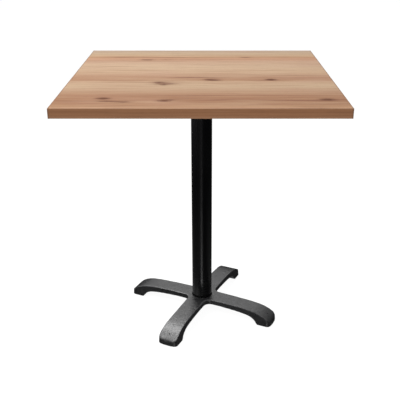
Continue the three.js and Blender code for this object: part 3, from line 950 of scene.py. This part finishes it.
def nut(name, z0, z1, hole, across=17):
    o = prism(name, hexagon(across), z0, z1)
    r, e = across / 2, 1.15 * across / 2
    cone = lathe("cone", [(0, z0), (r * 0.97, z0), (e + 0.3, z0 + 1.6), (e + 0.3, z1 - 1.6), (r * 0.97, z1), (0, z1)], 64, smooth=False)
    boolean(o, [cone], "INTERSECT")
    boolean(o, [lathe("cut", [(0, z0 - 1), (hole + 0.7, z0 - 1), (hole + 0.7, z0), (hole, z0 + 0.7), (hole, z1 - 0.7), (hole + 0.7, z1), (hole + 0.7, z1 + 1), (0, z1 + 1)], 32, smooth=False)], "DIFFERENCE")
    m = o.modifiers.new("b", "BEVEL")
    m.width, m.segments, m.limit_method, m.angle_limit = 0.15 * MM, 2, "ANGLE", math.radians(40)
    bake(o)
    return o


def washer(name, r, hole, z0, z1):
    b = 0.25
    return lathe(name, [(hole + b, z0), (r - b, z0), (r, z0 + b), (r, z1 - b), (r - b, z1), (hole + b, z1), (hole, z1 - b), (hole, z0 + b), (hole + b, z0)], 72)


recess = SPIDER_TOP - 11
stand_for(washer("washer_upper", 12, 5.3, recess + 0.3, recess + 2.3), "zinc", "zinc", "root", "upper_washer")
stand_for(nut("nut_upper", recess + 2.6, recess + 10.0, 5.3), "zinc", "zinc", "root", "upper_nut")
stand_for(washer("washer_lower", 16, 5.3, 33.2, 35.7), "zinc", "zinc", "root", "lower_washer")
stand_for(nut("nut_lower", 24.9, 32.9, 5.3), "zinc", "zinc", "root", "lower_nut")
rod_high = recess + 10.2
rod = thread("tie_rod_low", 5.0, 1.5, 22, 64, 28, 0.85)
mid = lathe("mid", [(0, 63), (4.6, 63), (4.6, 681), (0, 681)], 28)
high = thread("tie_rod_high", 5.0, 1.5, 680, rod_high, 28, 0.85)
join(rod, [mid, high])
rod.name = "threaded_rod"
stand_for(rod, "zinc", "zinc", "root", "tie_rod")

# wood screws: pan head with a cross recess, coarse thread
zs = SPIDER_TOP - SPIDER_T - 0.3
head = lathe("screw", [(0, zs - 3.0), (1.6, zs - 2.95), (2.8, zs - 2.72), (3.7, zs - 2.25), (4.35, zs - 1.55), (4.66, zs - 0.8), (4.7, zs - 0.25), (4.5, zs), (0, zs)], 40, smooth=False)
blade = []
for k in range(2):
    b = prism("blade", [(-2.3, -0.42), (2.3, -0.42), (2.3, 0.42), (-2.3, 0.42)], zs - 3.4, zs - 1.2, [(-1.2, -0.3), (1.2, -0.3), (1.2, 0.3), (-1.2, 0.3)])
    blade.append(spin(b, 45 + 90 * k))
boolean(head, blade, "DIFFERENCE")
m = head.modifiers.new("b", "BEVEL")
m.width, m.segments, m.limit_method, m.angle_limit = 0.08 * MM, 1, "ANGLE", math.radians(50)
bake(head)
shank = thread("shank", 2.2, 1.8, zs - 0.05, zs + 19, 14, 0.7, 1.2, 1.6)
join(head, [shank])
for i in range(4):
    for j, r in enumerate(SCREW_AT):
        s = copy_of(head, "screw_%d" % (2 * i + j + 1))
        s.data.transform(Matrix.Rotation(math.radians(37 * (2 * i + j)), 4, "Z"))
        a = math.radians(45 + 90 * i)
        shift(s, r * math.cos(a), r * math.sin(a))
        stand_for(s, "zinc", "zinc", "root", "wood_screw_%d" % (2 * i + j + 1))
bpy.data.objects.remove(head)

# ------------------------------------------------------------------ levelling glides
for i, name in enumerate(LEG_NAMES):
    a = math.radians(LEG_ANGLE + 90 * i)
    px, py = GLIDE_AT * math.cos(a), GLIDE_AT * math.sin(a)
    pad = lathe(
        "pad_" + name,
        [(3.4, 0.3), (3.7, 0.0), (11.2, 0.0), (11.9, 0.2), (12.35, 0.7), (12.5, 1.3), (12.5, 2.2), (12.1, 2.5), (12.1, 2.9), (12.5, 3.2), (12.5, 5.0),
         (12.2, 5.6), (11.7, 5.95), (11.2, 6.0), (4.9, 6.0), (4.4, 5.6), (4.4, 4.6), (6.9, 4.6), (6.9, 1.6), (3.4, 1.6), (3.4, 0.3)],
        72,
    )
    shift(pad, px, py)
    stand_for(pad, "nylon", "nylon", "pad_" + name, "glide_pad_" + name)
    stud = thread("stud_" + name, 4.0, 1.25, 4.2, 26, 28, 0.7)
    foot = lathe("flange", [(0, 1.9), (6.2, 1.9), (6.6, 2.3), (6.6, 3.9), (6.2, 4.3), (0, 4.3)], 48, smooth=False)
    boolean(foot, [prism("key", hexagon(4), 0, 4.0)], "DIFFERENCE")
    join(stud, [foot])
    shift(stud, px, py)
    stand_for(stud, "zinc", "zinc", "stud_" + name, "glide_stud_" + name)

# ------------------------------------------------------------------ studio
WORLD_LOW, WORLD_HIGH, STRIP, WASH, HOT = 0.07, 0.50, 0.13, 0.20, 6.0
floor = new_object("studio_floor", [(x, y, -0.2) for x, y in ((-14000, -14000), (14000, -14000), (14000, 14000), (-14000, 14000))], [(0, 1, 2, 3)], False)
g = Graph("studio_floor")
speck = g.noise(g.scaled(g.pos, (3, 3, 3)), 1, 2, 0.5)
tone = g.mix(speck, (0.90, 0.90, 0.90), (0.94, 0.94, 0.94))
dif = g.node("ShaderNodeBsdfDiffuse")
g.put(dif.inputs["Color"], tone)
emi = g.node("ShaderNodeEmission")
emi.inputs["Color"].default_value = (1, 1, 1, 1)
emi.inputs["Strength"].default_value = 1.1
mixer = g.node("ShaderNodeMixShader")
mixer.inputs[0].default_value = 0.86
g.nt.links.new(dif.outputs[0], mixer.inputs[1])
g.nt.links.new(emi.outputs[0], mixer.inputs[2])
g.nt.links.new(mixer.outputs[0], g.out.inputs[0])
floor.data.materials.append(g.mat)
floor.visible_glossy = False
floor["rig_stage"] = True

# The room: dark near the horizon and below it, bright above and behind, so level black surfaces shine and upright ones stay deep.
world = bpy.data.worlds.new("studio")
scene.world = world
world.use_nodes = True
wn = world.node_tree
wn.nodes.clear()
wo = wn.nodes.new("ShaderNodeOutputWorld")
bg = wn.nodes.new("ShaderNodeBackground")
tc = wn.nodes.new("ShaderNodeTexCoord")
sep = wn.nodes.new("ShaderNodeSeparateXYZ")
wn.links.new(tc.outputs["Generated"], sep.inputs[0])


def w_range(src, a, b, lo, hi):
    n = wn.nodes.new("ShaderNodeMapRange")
    n.interpolation_type = "SMOOTHSTEP"
    for k, v in (("From Min", a), ("From Max", b), ("To Min", lo), ("To Max", hi)):
        n.inputs[k].default_value = v
    wn.links.new(src, n.inputs["Value"])
    return n.outputs["Result"]


def w_math(op, a, b):
    n = wn.nodes.new("ShaderNodeMath")
    n.operation = op
    for i, v in enumerate((a, b)):
        if isinstance(v, (int, float)):
            n.inputs[i].default_value = v
        else:
            wn.links.new(v, n.inputs[i])
    return n.outputs[0]


dx, dy, dz = sep.outputs[0], sep.outputs[1], sep.outputs[2]
sky = w_range(dz, 0.14, 0.50, WORLD_LOW, WORLD_HIGH)
side = w_range(dx, -0.2, 0.75, 1.0, 0.45)
front = w_range(dy, -0.6, 0.3, 0.70, 1.0)
sky = w_math("MULTIPLY", w_math("MULTIPLY", sky, side), front)
below = w_range(dz, -0.10, 0.02, 0.0, 1.0)
strip = w_math("MULTIPLY", w_range(dy, -0.9, 0.0, 1.0, 0.0), w_math("MULTIPLY", w_range(dx, -0.55, -0.08, 0.0, 1.0), w_range(dx, -0.08, 0.35, 1.0, 0.0)))
glow = w_math("MULTIPLY", w_math("MULTIPLY", w_range(dz, 0.30, 0.46, 0.0, 1.0), w_range(dz, 0.60, 0.85, 1.0, 0.0)), w_math("MULTIPLY", w_range(dy, 0.15, 0.65, 0.0, 1.10), side))
sky = w_math("ADD", sky, glow)
near = w_range(dz, -0.475, -0.435, 1.0, 0.0)  # seen only in the foot of the column
wash = w_math("ADD", w_math("MULTIPLY", w_range(dx, -0.95, -0.45, 0.5, 1.0), w_range(dx, -0.12, 0.15, 1.0, 0.15)), w_range(dx, 0.60, 0.95, 0.0, 0.9))
hot = w_math("MULTIPLY", w_math("MULTIPLY", w_range(dz, -0.508, -0.488, 1.0, 0.0), w_range(dx, -0.16, -0.05, 0.0, 1.0)), w_math("MULTIPLY", w_range(dx, -0.05, 0.10, 1.0, 0.0), w_range(dy, -0.80, -0.60, 1.0, 0.0)))
low = w_math("ADD", w_math("MULTIPLY", strip, STRIP), 0.012)
low = w_math("ADD", low, w_math("MULTIPLY", w_math("MULTIPLY", near, wash), WASH))
low = w_math("ADD", low, w_math("MULTIPLY", hot, HOT))
total = w_math("ADD", w_math("MULTIPLY", sky, below), low)
path = wn.nodes.new("ShaderNodeLightPath")  # the backdrop itself is plain white
seen = path.outputs["Is Camera Ray"]
total = w_math("ADD", w_math("MULTIPLY", total, w_math("SUBTRACT", 1.0, seen)), seen)
wn.links.new(total, bg.inputs["Strength"])
bg.inputs["Color"].default_value = (1, 1, 1, 1)
wn.links.new(bg.outputs[0], wo.inputs[0])


def softbox(name, at, look, size, radiance):
    lamp = bpy.data.lights.new(name, "AREA")
    lamp.shape, lamp.size, lamp.size_y = "RECTANGLE", size[0], size[1]
    lamp.energy = radiance * math.pi * size[0] * size[1]
    o = bpy.data.objects.new(name, lamp)
    o.location = at
    o.rotation_euler = (Vector(look) - Vector(at)).to_track_quat("-Z", "Y").to_euler()
    scene.collection.objects.link(o)


softbox("high_back", (0.1, 1.5, 2.3), (0, 0, 0.1), (1.8, 0.8), 2.2)
softbox("high_front", (0.35, -1.75, 2.0), (0, -0.15, 0.1), (1.3, 1.4), 3.2)
softbox("high_left", (-1.55, -0.65, 2.2), (-0.1, -0.15, 0.1), (1.15, 1.15), 6.0)
softbox("under_top", (-0.245, 0.07, 0.688), (-0.245, 0.07, 0.0), (0.38, 0.50), 7.2)

scene.view_settings.view_transform = "Standard"
scene.view_settings.look = "None"

# ------------------------------------------------------------------ camera
F_PX, PITCH = 676.0, 23.094
cam = bpy.data.cameras.new("camera")
cam.sensor_width, cam.lens = 36, F_PX * 36 / 400
cam.shift_x = -6 / 400
cam.clip_start, cam.clip_end = 0.05, 100
co = bpy.data.objects.new("camera", cam)
co.location = (0.0125, -1.846, 1.152)
co.rotation_euler = (math.radians(90 - PITCH), 0, 0)
scene.collection.objects.link(co)
scene.camera = co

lo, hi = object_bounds()
